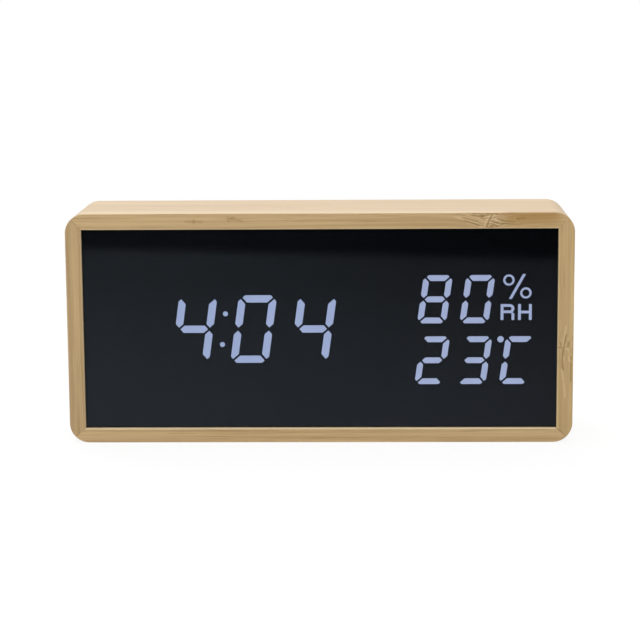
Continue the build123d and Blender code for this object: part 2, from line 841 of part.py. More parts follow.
def ribbon():
    low_y, high_y = board_back_y + plug_height / 2, control_front_y - plug_height / 2
    low_z, high_z = middle_z - plug_width / 2, middle_z + plug_width / 2
    start_x = control_left_x + plug_inset + plug_length
    end_x = control_right_x - plug_inset - plug_length
    first = rect(start_x - plug_length, start_x, low_z, high_z)
    keep("display_plug", prism(first, board_back_y, board_back_y + plug_height))
    second = rect(end_x, end_x + plug_length, low_z, high_z)
    keep("control_plug", prism(second, control_front_y - plug_height, control_front_y))
    straight = (end_x - start_x) * ribbon_straight_share / 2
    turn = math.atan2(high_y - low_y, end_x - start_x - 2 * straight)
    bend = 0.45 * straight / math.tan(turn / 2)
    print("ribbon cable: bend radius", round(bend, 1))
    path = FilletPolyline(
        (start_x, low_y, middle_z),
        (start_x + straight, low_y, middle_z),
        (end_x - straight, high_y, middle_z),
        (end_x, high_y, middle_z),
        radius=bend,
    )
    across = Plane(origin=(start_x, low_y, middle_z), x_dir=(0, 0, 1), z_dir=(1, 0, 0))
    keep("ribbon_cable", sweep(across * ribbon_section(), path))


def black_lead():
    """From the first cell's tab, round the end of the bay and along its front to the control board."""
    tab_x = bay_x - bay_half - bay_wall - tab_reach
    turn_x = tab_x - lead_bend - lead_reach
    front_lead_y = (board_back_y + bay_floor_y - bay_wall) / 2
    end_x = control_left_x + lead_inset
    z = cell_rows[0]
    path = FilletPolyline(
        (tab_x, lead_y, z),
        (turn_x, lead_y, z),
        (turn_x, front_lead_y, z),
        (end_x, front_lead_y, z),
        (end_x, control_front_y, z),
        radius=lead_bend,
    )
    section = Plane(origin=(tab_x, lead_y, z), z_dir=(-1, 0, 0)) * RegularPolygon(lead_radius, lead_sides)
    keep("black_lead", sweep(section, path))


def red_lead():
    """From the last cell's tab straight across to the edge of the control board."""
    tab_x = bay_x + bay_half + bay_wall + tab_reach
    start = Plane(origin=(tab_x, lead_y, cell_rows[-1]), z_dir=(1, 0, 0))
    section = start * RegularPolygon(lead_radius, lead_sides)
    keep("red_lead", extrude(section, amount=control_left_x - tab_x))


# Battery door: a flush plate that tips out on two hooks at its foot, with a finger tongue at its head
door_half = bay_half + door_ledge
door_low_z = bay_low_z - door_ledge
door_high_z = bay_high_z + door_ledge
door_corner = 0.8
hook_x = 17.0
hook_width = 6.0
hook_neck = 1.2
hook_toe = 1.2
hook_toe_reach = 1.5
hook_sink = 0.2
hook_room = 0.4
tongue_half = 4.5
tongue_length = 9.0
tongue_slot = 0.8
grip_count = 3
grip_pitch = 1.8
grip_width = 0.8
grip_height = 0.5
grip_inset = 1.6
scoop_half = 6.5
scoop_rise = 3.5
scoop_depth = 1.2


def battery_door():
    gap = running_clearance
    plate = Pos(bay_x, (door_low_z + door_high_z) / 2) * RectangleRounded(
        2 * (door_half - gap), door_high_z - door_low_z - 2 * gap, door_corner
    )
    head_z = door_high_z - gap
    for side in (-1, 1):
        slot_x = bay_x + side * (tongue_half + tongue_slot / 2) - tongue_slot / 2
        plate -= rect(slot_x, slot_x + tongue_slot, head_z - tongue_length, head_z + cut_overrun)
    door = prism(plate, door_seat_y, cover_back_y)
    for number in range(grip_count):
        z = head_z - grip_inset - number * grip_pitch
        reach = tongue_half - grip_inset
        bar = rect(bay_x - reach, bay_x + reach, z - grip_width / 2, z + grip_width / 2)
        door += prism(bar, cover_back_y, cover_back_y + grip_height)
    toe_back_y = cover_seat_y - hook_sink
    toe_front_y = toe_back_y - hook_toe
    neck_z = bay_low_z + gap
    for side in (-1, 1):
        left, right = bay_x + side * hook_x - hook_width / 2, bay_x + side * hook_x + hook_width / 2
        door += prism(rect(left, right, neck_z, neck_z + hook_neck), toe_front_y, door_seat_y)
        toe = rect(left, right, door_low_z - hook_toe_reach, neck_z + hook_neck)
        door += prism(toe, toe_front_y, toe_back_y)
    keep("battery_door", door)


# Rear cover: one moulding with the battery bay, screw bosses, a locating rib, vents and key holes
cover_corner = 1.2
rib_thickness = 1.2
rib_depth = 2.5
counterbore_radius = 2.6
counterbore_depth = 1.5
vent_count = 5
vent_width = 1.2
vent_height = 6.8
vent_pitch = 2.2
sound_count = 6
sound_radius = 0.7
sound_circle = 2.8
socket_lead_in_width = 12.6
socket_lead_in_height = 6.8
socket_lead_in_depth = 1.0


def cover_body():
    """The plate with everything that stands inward from it."""
    inset = rim_wall + fit_clearance
    plate = RectangleRounded(case_width - 2 * inset, case_height - 2 * inset + sill_thinning, cover_corner)
    body = prism(Pos(0, middle_z - sill_thinning / 2) * plate, cover_seat_y, cover_back_y)
    rib = opening(tube_wall + fit_clearance) - opening(tube_wall + fit_clearance + rib_thickness)
    body += prism(rib, cover_seat_y - rib_depth, cover_seat_y)
    reach = bay_half + bay_wall
    bay = rect(bay_x - reach, bay_x + reach, bay_low_z - bay_wall, bay_high_z + bay_wall)
    body += prism(bay, bay_floor_y - bay_wall, cover_seat_y)
    for x, z in screw_places:
        body += prism(pin(x, z, boss_radius), board_back_y, cover_seat_y)
    for x, z in control_screw_places:
        body += prism(pin(x, z, control_boss_radius), control_back_y, cover_seat_y)
    chamber = Sketch()
    for margin in (chamber_wall, 0):
        low_z, high_z = upper_row_z - chamber_half - margin, upper_row_z + chamber_half + margin
        box = rect(chamber_left_x - margin, chamber_right_x + margin, low_z, high_z)
        chamber = chamber - box if margin == 0 else box
    return body + prism(chamber, control_back_y + running_clearance, cover_seat_y)


def cover_battery_cuts():
    """The bay's hollow, the door's opening, and the slots for hooks and solder tabs."""
    past_y = cover_back_y + cut_overrun
    bay = rect(bay_x - bay_half, bay_x + bay_half, bay_low_z, bay_high_z)
    doorway = rect(bay_x - door_half, bay_x + door_half, door_low_z, door_high_z)
    scoop = rect(bay_x - scoop_half, bay_x + scoop_half, door_high_z, door_high_z + scoop_rise)
    cuts = [
        prism(bay, bay_floor_y, past_y),
        prism(doorway, door_seat_y - running_clearance, past_y),
        prism(scoop, cover_back_y - scoop_depth, past_y),
    ]
    slot_front_y = cover_seat_y - hook_sink - hook_toe - 2 * hook_room
    for side in (-1, 1):
        reach, x = hook_width / 2 + hook_room, bay_x + side * hook_x
        slot = rect(x - reach, x + reach, bay_low_z - bay_wall - cut_overrun, bay_low_z)
        cuts.append(prism(slot, slot_front_y, cover_seat_y))
    for side, row in ((-1, 0), (1, cell_count - 1)):
        near_x, far_x = bay_x + side * bay_half, bay_x + side * (bay_half + bay_wall + cut_overrun)
        reach = tab_height / 2 + running_clearance
        slot = rect(min(near_x, far_x), max(near_x, far_x), cell_rows[row] - reach, cell_rows[row] + reach)
        half_slot = contact_thickness / 2 + running_clearance
        cuts.append(prism(slot, lead_y - half_slot, lead_y + half_slot))
    return cuts


def cover_hole_cuts():
    """Screw holes with counterbores, key holes, the socket's slot, vents and sound holes."""
    past_y = cover_back_y + cut_overrun
    cuts = []
    for x, z in screw_places:
        shank = pin_hole(x, z, cover_screw_radius + running_clearance)
        cuts.append(prism(shank, board_back_y - cut_overrun, past_y))
        cuts.append(prism(dot(x, z, counterbore_radius), cover_back_y - counterbore_depth, past_y))
    for x, z in control_screw_places:
        pilot = pin_hole(x, z, control_screw_radius + running_clearance)
        cuts.append(prism(pilot, control_back_y - cut_overrun, cover_seat_y))
    for x, z in key_places:
        cuts.append(prism(dot(x, z, key_radius + running_clearance), cover_seat_y - cut_overrun, past_y))
    place = Pos(socket_x, upper_row_z)
    slot = place * SlotOverall(socket_width + 2 * socket_room, socket_height + 2 * socket_room)
    cuts.append(prism(slot, cover_seat_y - cut_overrun, past_y))
    lead_in = place * SlotOverall(socket_lead_in_width, socket_lead_in_height)
    cuts.append(prism(lead_in, cover_back_y - socket_lead_in_depth, past_y))
    for number in range(vent_count):
        x = (chamber_left_x + chamber_right_x) / 2 + (number - (vent_count - 1) / 2) * vent_pitch
        vent = Pos(x, upper_row_z) * SlotOverall(vent_height, vent_width, rotation=90)
        cuts.append(prism(vent, cover_seat_y - cut_overrun, past_y))
    sounds = pin(buzzer_x, upper_row_z, sound_radius)
    for number in range(sound_count):
        angle = 2 * math.pi * number / sound_count
        reach, rise = sound_circle * math.cos(angle), sound_circle * math.sin(angle)
        sounds += pin(buzzer_x + reach, upper_row_z + rise, sound_radius)
    cuts.append(prism(sounds, cover_seat_y - cut_overrun, past_y))
    return cuts


def rear_cover():
    keep("rear_cover", cover_body() - cover_battery_cuts() - cover_hole_cuts())


# Cover screws: long pan heads through the cover's bosses and the board into the corner blocks
cover_head_radius = 2.3
cover_head_height = 1.3
cover_screw_stop = 1.0
driver_slot = 0.7
driver_reach = 1.5
driver_depth = 0.7


def cover_screws():
    seat_y = cover_back_y - counterbore_depth
    head_y = seat_y + cover_head_height
    screws = []
    for x, z in screw_places:
        screw = prism(dot(x, z, cover_head_radius), seat_y, head_y)
        screw = chamfer(screw.faces().sort_by(Axis.Y)[-1].edges(), cover_head_height / 3)
        screw += prism(pin(x, z, cover_screw_radius), lens_back_y + cover_screw_stop, seat_y)
        cross = Pos(x, z) * Rectangle(2 * driver_reach, driver_slot)
        cross += Pos(x, z) * Rectangle(driver_slot, 2 * driver_reach)
        screws.append(screw - prism(cross, head_y - driver_depth, head_y + cut_overrun))
    keep("cover_screws", group(screws))


def main():
    bamboo_boards()
    front_lens()
    corner_blocks()
    display()
    display_board()
    controller()
    crystal()
    capacitor()
    cells()
    contacts()
    keys()
    sensors()
    buzzer()
    power_socket()
    control_board()
    ribbon()
    black_lead()
    red_lead()
    battery_door()
    rear_cover()
    cover_screws()
    os.makedirs("parts", exist_ok=True)
    for name, shape in pieces.items():
        export_step(shape, os.path.join("parts", f"{name}.step"))
    print(len(pieces), "nodes")


main()
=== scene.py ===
import math

import bmesh
import bpy
import numpy as np
from mathutils import Matrix


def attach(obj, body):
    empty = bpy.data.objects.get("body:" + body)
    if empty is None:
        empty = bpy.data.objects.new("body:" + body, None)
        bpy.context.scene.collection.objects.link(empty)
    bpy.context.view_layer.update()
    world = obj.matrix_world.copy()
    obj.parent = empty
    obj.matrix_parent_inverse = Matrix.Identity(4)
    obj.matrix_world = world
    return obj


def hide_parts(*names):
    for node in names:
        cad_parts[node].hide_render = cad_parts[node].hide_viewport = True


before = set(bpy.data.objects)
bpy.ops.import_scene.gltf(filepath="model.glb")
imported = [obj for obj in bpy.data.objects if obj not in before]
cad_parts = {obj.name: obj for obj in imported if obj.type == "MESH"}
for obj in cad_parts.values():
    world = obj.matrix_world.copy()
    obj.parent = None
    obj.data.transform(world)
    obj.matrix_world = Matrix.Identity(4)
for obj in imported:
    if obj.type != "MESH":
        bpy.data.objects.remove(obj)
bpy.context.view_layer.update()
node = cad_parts

# Bamboo boards
# Four strips of laminated bamboo, planed to one section with a front lip and a rear rabbet.
# They are cut at 45 degrees, glued into a tube, rounded at the corners and given satin lacquer.
mm = 0.001
case_width, case_height, case_depth = 150.0 * mm, 68.7 * mm, 38.0 * mm
corner_radius = 5.8 * mm
lip_wall, tube_wall, rim_wall = 4.72 * mm, 3.72 * mm, 2.72 * mm
sill_thinning = 0.44 * mm
lip_depth, rim_depth = 1.5 * mm, 3.4 * mm
edge_round, inner_ease, glue_line = 0.22 * mm, 0.28 * mm, 0.02 * mm
round_steps, corner_steps, straight_steps = 6, 13, 7


class Tone:
    """A socket in a material's node tree. Arithmetic on it adds Math nodes."""

    def __init__(self, tree, socket=None):
        self.tree = tree
        self.socket = socket

    def add(self, kind, settings=None, sockets=None, out=0):
        """Adds a node of this type, sets its settings, then its sockets' values or links."""
        made = self.tree.nodes.new("ShaderNode" + kind)
        for name, value in (settings or {}).items():
            setattr(made, name, value)
        for name, value in (sockets or {}).items():
            if isinstance(value, Tone):
                self.tree.links.new(value.socket, made.inputs[name])
            else:
                made.inputs[name].default_value = value
        return Tone(self.tree, made.outputs[out] if len(made.outputs) else None)

    def output(self, which):
        """Another output of the node that this socket belongs to."""
        return Tone(self.tree, self.socket.node.outputs[which])

    def math(self, operation, first, second=0.0):
        return self.add("Math", {"operation": operation}, {0: first, 1: second})

    def __add__(self, other):
        return self.math("ADD", self, other)

    def __sub__(self, other):
        return self.math("SUBTRACT", self, other)

    def __rsub__(self, other):
        return self.math("SUBTRACT", other, self)

    def __mul__(self, other):
        return self.math("MULTIPLY", self, other)

    def __truediv__(self, other):
        return self.math("DIVIDE", self, other)

    def __abs__(self):
        return self.math("ABSOLUTE", self)

    __radd__, __rmul__ = __add__, __mul__

    def ease(self, low, high):
        """0 below low, 1 above high, and a smooth step between; high may be the smaller."""
        return self.add("MapRange", {"interpolation_type": "SMOOTHSTEP"}, {0: self, 1: low, 2: high})

    def between(self, first, second):
        """The colour that this socket's value picks on the way from the first to the second."""
        first, second = (one if isinstance(one, Tone) else (*one, 1.0) for one in (first, second))
        settings = {"data_type": "RGBA", "clamp_factor": True}
        return self.add("Mix", settings, {0: self, 6: first, 7: second}, out=2)


def new_finish(name):
    """A material with an empty node tree, and the Tone that starts it."""
    finish = bpy.data.materials.new(name)
    finish.use_nodes = True
    finish.node_tree.nodes.clear()
    return finish, Tone(finish.node_tree)


def surface(start, sockets):
    """Ends a material with a Principled shader."""
    shader = start.add("BsdfPrincipled", None, sockets)
    start.add("OutputMaterial", None, {"Surface": shader})


def place_in_mm(start):
    """The point's x, y and z in the object's own frame, in millimetres."""
    point = start.add("TexCoord", out=3)
    scaled = start.add("VectorMath", {"operation": "SCALE"}, {0: point, "Scale": 1 / mm})
    x = start.add("SeparateXYZ", None, {0: scaled})
    return x, x.output(1), x.output(2)


def grain(start, x, y, z, detail=2.0, rough=0.5):
    """Cloud noise of unit scale at the point x, y, z."""
    point = start.add("CombineXYZ", None, {0: x, 1: y, 2: z})
    sockets = {"Vector": point, "Scale": 1.0, "Detail": detail, "Roughness": rough}
    return start.add("TexNoise", {"noise_dimensions": "3D"}, sockets)


def bell(start, distance, width):
    """A bell curve of this half-width round distance 0."""
    share = distance / width
    return start.math("EXPONENT", share * share * -1.0)


def stroke(start, run, inset, ends, width):
    """A soft line between two places on a board's front: 1 on the line, 0 at this width from it."""
    first_run, first_inset, last_run, last_inset = ends
    reach = math.hypot(last_run - first_run, last_inset - first_inset)
    way_run, way_inset = (last_run - first_run) / reach, (last_inset - first_inset) / reach
    past_run, past_inset = run - first_run, inset - first_inset
    along = abs(past_run * way_run + past_inset * way_inset - reach / 2)
    aside = abs(past_inset * way_run - past_run * way_inset)
    return along.ease(reach / 2 + 0.2, reach * 0.3) * aside.ease(width, width * 0.15)


def bamboo_finish(start, run, inset, lip, lip_highlight_strength, y, mitre, seed, tone, knuckles, stain, strokes):
    """Lengthwise fibres: noise stretched along the board's run and bent aside in a bell curve at each
    knuckle, with the split fibres of the front's knuckle as strokes; a dark hairline at the mitre, a browner
    stretch of the front, a paler band on the outer face along the front edge, and a painted highlight along
    the lip's inner edge.
    Factors on a place are waves to a millimetre; the limits of run, inset, y and behind are millimetres."""
    behind = y + case_depth / 2 / mm
    wander = grain(start, run * 0.018, y * 0.12, inset * 0.1 + seed, 1.0) - 0.5
    across, deep, knot = inset + wander * 1.6, y + wander * 1.2, 0.0
    fade = 0.3
    for centre, width, amount, near_y, far_y, strength in knuckles:
        strip = y.ease(far_y + fade, far_y - fade) * y.ease(near_y - fade, near_y + fade)
        dip = bell(start, run - (centre + width * 0.2), width) * strip
        swirl = grain(start, run * 0.22, y * 0.4, inset * 0.3 + centre, 1.0) - 0.5
        across = across - dip * (swirl * 3.9 + 1.0) * amount
        deep = deep + dip * swirl * (1.5 * amount)
        knot = dip * strength + knot
    shifted = run + seed
    strips = grain(start, shifted * 0.004, deep * 0.16 + seed, across * 0.3, 1.0)
    bands = grain(start, shifted * 0.01, deep * 0.6, across * 0.9 + seed, 2.0)
    fibres = grain(start, shifted * 0.022, deep * 2.4, across * 2.4, 3.0, 0.6)
    dashes = grain(start, shifted * 0.06, deep * 3.4 + seed, across * 3.4, 1.0)
    pores = grain(start, shifted * 0.35, deep * 9.0, across * 9.0, 1.0)
    shades = np.array([(0.575, 0.405, 0.19), (0.372, 0.242, 0.097), (0.49, 0.33, 0.172)]) * tone
    pale, tan, rosy = shades.tolist()
    brown, dark_brown, edge_brown = (0.2, 0.105, 0.035), (0.17, 0.1, 0.014), (0.36, 0.18, 0.06)
    stain_brown, glue_brown, cream = (0.275, 0.132, 0.004), (0.13, 0.07, 0.03), (0.78, 0.62, 0.38)
    tint = bands.ease(0.3, 0.7) * 0.5 + fibres.ease(0.27, 0.73) * 0.5
    colour = tint.between(pale, tan)
    colour = (strips.ease(0.45, 0.65) * 0.45).between(colour, rosy)
    colour = (dashes.ease(0.58, 0.72) * 0.34).between(colour, brown)
    colour = (pores.ease(0.66, 0.8) * 0.2).between(colour, brown)
    rings = (across + deep) * 7.0 + grain(start, shifted * 0.08, deep * 0.8, across * 0.8, 1.0) * 9.0
    rings = start.math("SINE", rings)
    knot = knot.ease(0.06, 0.7)
    colour = (knot * rings.ease(0.35, 0.95) * 0.6).between(colour, brown)
    colour = (knot * rings.ease(-0.45, -0.95) * 0.4).between(colour, cream)
    front, waver = behind.ease(0.8, 0.2), inset + wander * 0.8
    dark_lines, cream_lines, faint_lines = strokes
    for line_ends, width, amount, line_tone in (
        (cream_lines, 0.32, 0.3, cream), (dark_lines, 0.36, 0.62, dark_brown),
        (faint_lines, 0.55, 0.3, dark_brown),
    ):
        lines = 0.0
        for ends in line_ends:
            lines = stroke(start, run, waver, ends, width) + lines
        if line_ends:
            colour = (lines * front * amount).between(colour, line_tone)
    edge = inset.ease(0.6, 0.1) * behind.ease(0.7, 0.1) * bands.ease(0.42, 0.58)
    colour = (edge * 0.3).between(colour, edge_brown)
    front_edge = inset.ease(0.3, 0.1) * behind.ease(12.0, 1.0) * behind.ease(0.02, 0.1)
    colour = (front_edge * 0.24).between(colour, cream)
    # Painted highlight: the lip's inner edge is paler, most of all on the sill, whose ledge faces up.
    lip_highlight = inset.ease(lip - 0.34, lip - 0.26) * behind.ease(1.7, 1.5)
    colour = (lip_highlight * lip_highlight_strength).between(colour, cream)
    stained = run.ease(stain[0], stain[0] + 5.0) * run.ease(stain[1], stain[1] - 5.0)
    stained = stained * inset.ease(5.6, 0.2) * behind.ease(4.5, 0.2) * (0.7 + bands * 0.6)
    colour = (stained * 0.64).between(colour, stain_brown)
    colour = mitre.between(colour, glue_brown)
    relief = fibres * 0.6 + pores * 0.4
    normal = start.add("Bump", None, {"Strength": 0.25, "Distance": 0.03 * mm, "Height": relief})
    surface(start, {
        "Base Color": colour, "Roughness": 0.4 + fibres * 0.12, "IOR": 1.5,
        "Coat Weight": 0.2, "Coat Roughness": 0.3, "Normal": normal,
    })


def board_section():
    """The closed outline round a board's section: inset from the outer face, depth, corner radius.
    A narrow strip beside each round holds the shading of the flat face next to it."""
    front, rear = -case_depth / 2, case_depth / 2
    hold, inner_radius = 0.04 * mm, 0.02 * mm
    turn = np.radians(np.linspace(0.0, 90.0, round_steps))
    round_in, round_out = edge_round * (1 - np.sin(turn)), edge_round * (1 - np.cos(turn))
    corners = [(lip_wall - inner_ease - hold, front), (lip_wall - inner_ease, front)]
    corners += [(lip_wall, front + inner_ease), (lip_wall, front + lip_depth), (tube_wall, front + lip_depth)]
    corners += [(tube_wall, rear - rim_depth), (rim_wall, rear - rim_depth)]
    corners += [(rim_wall, rear - inner_ease), (rim_wall - inner_ease, rear)]
    corners += [(rim_wall - inner_ease - hold, rear), (edge_round + hold, rear)]
    inner = np.array(corners)
    rear_round = np.stack([round_in, rear - round_out], 1)
    front_round = np.stack([round_in, front + round_out], 1)[::-1]
    outer = np.array([(0.0, rear - edge_round - hold), (0.0, front + edge_round + hold)])
    last = np.array([(edge_round + hold, front)])
    outline = np.concatenate([inner, rear_round, outer, front_round, last])
    inside = np.arange(len(outline)) < len(inner) - 1
    radius = np.where(inside, inner_radius, corner_radius - outline[:, 0])
    return outline, radius, inside


def pulled_in(outline, by):
    """A closed outline moved inwards, along the mean normal of the two edges at each corner."""
    before, after = outline - np.roll(outline, 1, 0), np.roll(outline, -1, 0) - outline
    before, after = (e / np.linalg.norm(e, axis=1)[:, None] for e in (before, after))
    normal = np.stack([before[:, 1] + after[:, 1], -before[:, 0] - after[:, 0]], 1)
    length = np.maximum(np.linalg.norm(normal, axis=1), 1e-9)[:, None]
    area = np.sum(outline[:, 0] * np.roll(outline[:, 1], -1) - np.roll(outline[:, 0], -1) * outline[:, 1])
    return outline - np.sign(area) * by * normal / length


def board_rings(half_along, half_out, thinning):
    """The section carried along the board: straight in the middle, then each point turns by 45 degrees
    on its own corner radius up to the mitre, where a last ring is pulled in to leave a hairline groove.
    The inner points stand further out where this board, or the one at either end, is the thinner sill."""
    outline, radius, inside = board_section()
    turn = np.radians(np.linspace(90.0, 45.0, corner_steps))
    shares = np.linspace(-1.0, 1.0, straight_steps + 2)[1:-1]
    end = np.concatenate([-np.ones(corner_steps), shares, np.ones(corner_steps)])[:, None]
    sine = np.concatenate([np.sin(turn[::-1]), np.ones(straight_steps), np.sin(turn)])[:, None]
    cosine = np.concatenate([-np.cos(turn[::-1]), np.zeros(straight_steps), np.cos(turn)])[:, None]
    inset, depth = outline[:, 0][None], outline[:, 1][None]
    own, first_end, last_end = (inside * thinned for thinned in thinning)
    end_thinning = np.where(end < 0, first_end, last_end)
    along = end * (half_along - inset + end_thinning - radius - glue_line) + radius * cosine
    out = half_out - inset + own - radius + radius * sine
    capped = pulled_in(outline, glue_line)
    lean = radius * (1 - math.sqrt(0.5))
    cap_along = half_along - capped[:, 0] - lean
    cap_out = half_out - capped[:, 0] + own - lean
    along = np.concatenate([-(cap_along + first_end)[None], along, (cap_along + last_end)[None]])
    out = np.concatenate([cap_out[None], out, cap_out[None]])
    cap_depth, depth = capped[:, 1][None], np.broadcast_to(depth, (len(end), len(outline)))
    depth = np.concatenate([cap_depth, depth, cap_depth])
    return np.stack([along, depth, out], 2)


def put(name, data):
    """A new object with this data, in the scene."""
    made = bpy.data.objects.new(name, data)
    bpy.context.scene.collection.objects.link(made)
    return made


def skin(name, grids, finish, body, sharp=35.0, traits=None):
    """A mesh over grids of rings, each ring a closed loop: quads between neighbouring rings, and one
    face on the first and the last ring of each grid. Rings turn right-handed about the way they advance.
    Traits are values at the points that a finish reads by name."""
    points, faces, base = [], [], 0
    for rings in grids:
        rows, columns = rings.shape[:2]
        row, column = np.meshgrid(np.arange(rows - 1), np.arange(columns), indexing="ij")
        beside = (column + 1) % columns
        quads = np.stack([row, row, row + 1, row + 1], 2) * columns
        quads = quads + np.stack([column, beside, beside, column], 2) + base
        ends = np.arange(columns) + base
        faces += quads.reshape(-1, 4).tolist() + [ends[::-1].tolist(), (ends + (rows - 1) * columns).tolist()]
        points.append(rings.reshape(-1, 3))
        base += rows * columns
    mesh = bpy.data.meshes.new(name)
    mesh.from_pydata(np.concatenate(points).tolist(), [], faces)
    for trait, values in (traits or {}).items():
        mesh.attributes.new(trait, "FLOAT", "POINT").data.foreach_set("value", values.ravel())
    mesh.shade_smooth()
    mesh.set_sharp_from_angle(angle=math.radians(sharp))
    mesh.materials.append(finish)
    piece = put(name, mesh)
    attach(piece, body)
    return piece


# A mitre has the strength of its dark hairline; a knuckle its place along the board, half-width, bend, first
# and last y, and strength; a split fibre its run and inset at the first end and at the last.
top_left, top_right, bottom_right, bottom_left = 0.5, 0.12, 0.8, 0.12
hairline_fade, hairline = 0.2, 0.06
top_knuckles = [(49.3, 6.6, 2.0, -20.0, -17.6, 0.45), (-12.0, 6.0, 1.6, -8.0, -2.0, 0.5)]
right_knuckles = [(28.0, 3.2, 1.0, -20.0, -17.6, 0.25), (47.0, 5.0, 1.6, 4.0, 10.0, 0.5)]
bottom_knuckles = [(-30.0, 6.0, 1.6, -7.0, -1.0, 0.5), (38.0, 6.0, 1.6, 5.0, 11.0, 0.5)]
left_knuckles = [(52.0, 5.0, 1.6, -6.0, 0.0, 0.5), (20.0, 5.0, 1.6, 9.0, 15.0, 0.5)]
top_dark = [
    (41.3, 1.3, 47.2, 2.8), (42.2, 2.3, 47.5, 3.9), (44.8, 0.4, 47.2, 0.4), (44.2, 0.8, 48.6, 1.3),
    (47.2, 0.5, 48.5, 1.3), (51.0, 0.3, 49.8, 2.4), (49.9, 2.2, 49.0, 4.5), (48.8, 0.3, 49.6, 0.4),
    (50.2, 2.5, 53.0, 3.5), (52.1, 1.8, 54.6, 2.7), (54.3, 2.7, 58.0, 2.9), (52.4, 3.2, 57.7, 3.5),
    (50.7, 3.4, 52.7, 4.1), (57.5, 2.0, 60.9, 1.7), (51.4, 0.3, 52.6, 0.7), (50.3, 3.8, 51.0, 4.5),
]
top_cream = [
    (39.0, 1.1, 47.5, 3.5), (40.7, 1.0, 46.7, 2.5), (44.2, 0.4, 47.0, 0.9), (50.3, 0.6, 48.8, 3.0),
    (48.8, 2.8, 48.5, 4.5), (51.2, 0.9, 50.6, 2.3), (49.8, 2.9, 50.8, 2.9), (50.5, 2.9, 53.0, 3.9),
    (51.0, 2.0, 54.0, 3.1), (53.9, 3.1, 58.6, 3.0), (57.3, 1.0, 57.2, 2.5), (46.9, 4.2, 48.1, 4.6),
]
top_faint = [
    (-36.8, 1.6, -36.9, 3.0), (-40.0, 2.3, -33.5, 2.4), (-26.8, 0.8, -26.5, 2.5), (-26.6, 1.5, -22.0, 2.2),
    (-26.3, 1.4, -24.6, 1.1),
]
right_dark = [
    (32.9, 2.2, 28.9, 2.9), (29.2, 2.8, 26.5, 3.2), (26.9, 3.2, 23.6, 3.2), (23.9, 3.2, 21.5, 2.9),
    (30.5, 1.5, 28.3, 1.8), (25.9, 0.9, 24.8, 0.7), (28.6, 4.4, 28.6, 3.5), (30.2, 3.9, 29.0, 3.6),
    (24.8, 0.8, 17.6, 0.8),
]
right_cream = [
    (35.3, 2.3, 31.7, 2.7), (32.2, 2.6, 28.6, 3.4), (27.9, 2.7, 28.4, 1.3), (31.0, 0.7, 28.3, 0.6),
    (26.2, 1.4, 24.4, 1.4), (25.9, 2.9, 24.5, 2.9), (22.4, 3.5, 18.3, 2.8), (18.6, 2.8, 13.1, 2.3),
]
split_fibres = {"top": (top_dark, top_cream, top_faint), "right": (right_dark, right_cream, [])}
no_fibres = ([], [], [])
# Each board's colours are scaled by its own tone: partly each strip's own tone, partly painted light, the
# bottom board made paler against the shade that it gets from the table near it.
top_tone, right_tone = (0.95, 0.945, 0.98), (0.93, 0.93, 0.885)
bottom_tone_and_fill, left_tone = (1.06, 1.06, 1.11), (0.865, 0.86, 0.895)
# The part of a front that has browned, from and to along its run; none lies past the end of every board.
brown_stretch, none_browned = (52.0, 73.0), (90.0, 91.0)
plain, sill, sill_first, sill_last = np.array([(0, 0, 0), (1, 0, 0), (0, 1, 0), (0, 0, 1)]) * sill_thinning
boards = {
    "top": (11.0, top_tone, plain, (top_left, top_right), top_knuckles, brown_stretch),
    "right": (47.0, right_tone, sill_last, (bottom_right, top_right), right_knuckles, none_browned),
    "bottom": (83.0, bottom_tone_and_fill, sill, (bottom_left, bottom_right), bottom_knuckles, none_browned),
    "left": (131.0, left_tone, sill_first, (bottom_left, top_left), left_knuckles, none_browned),
}
lower_mitre = lip_wall / (lip_wall - sill_thinning)
wide_mm, high_mm = case_width / mm, case_height / mm
for quarter, (side, (seed, tone, thinning, mitre_tones, knuckles, stain)) in enumerate(boards.items()):
    finish, start = new_finish(f"bamboo_{side}")
    x, y, z = place_in_mm(start)
    upright = quarter % 2 == 1
    run, middle = (z, high_mm / 2) if upright else (x, 0.0)
    room = start.math("MINIMUM", z * lower_mitre, high_mm - z) if upright else wide_mm / 2 - abs(x)
    room = room / lower_mitre if side == "bottom" else room
    inset = (high_mm - z, wide_mm / 2 - x, z, x + wide_mm / 2)[quarter]
    mitre_tone = (run - middle).ease(-1.0, 1.0) * (mitre_tones[1] - mitre_tones[0]) + mitre_tones[0]
    broken = grain(start, run, y * 0.3, inset * 0.8).ease(0.3, 0.5)
    mitre = abs(room - inset).ease(hairline_fade, hairline) * broken * mitre_tone
    lip = (lip_wall - thinning[0]) / mm
    # The sill's upward ledge gets a stronger painted highlight than the other lips.
    lip_highlight_strength = 0.75 if side == "bottom" else 0.4
    strokes = split_fibres.get(side, no_fibres)
    bamboo_finish(start, run, inset, lip, lip_highlight_strength, y, mitre, seed, tone, knuckles, stain, strokes)
    half_sizes = (case_height / 2, case_width / 2) if upright else (case_width / 2, case_height / 2)
    along, depth, out = np.moveaxis(board_rings(*half_sizes, thinning), 2, 0)
    sine, cosine = round(math.sin(quarter * math.pi / 2)), round(math.cos(quarter * math.pi / 2))
    rings = np.stack([along * cosine + out * sine, depth, case_height / 2 + out * cosine - along * sine], 2)
    board = skin(f"bamboo_board_{side}", [rings], finish, "case")
    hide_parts(f"{side}_board")

# Front lens
# A sheet of smoked acrylic, saw-cut and dropped in from behind against the lip.
# It hides the display's unlit parts and mirrors the table in front.


def cloud(start, scale, detail=2.0, rough=0.5):
    """Cloud noise with this many waves to a millimetre in each direction."""
    x, y, z = place_in_mm(start)
    return grain(start, x * scale, y * scale, z * scale, detail, rough)


def mottled(name, scale, low, high, sockets, detail=2.0):
    """A finish whose colour drifts from low to high with cloud noise of this scale."""
    finish, start = new_finish(name)
    surface(start, {"Base Color": cloud(start, scale, detail).between(low, high), **sockets})
    return finish


def dress(finish, *names):
    """Gives CAD nodes a finish in place of the one that they were packed with."""
    for name in names:
        node[name].data.materials.clear()
        node[name].data.materials.append(finish)


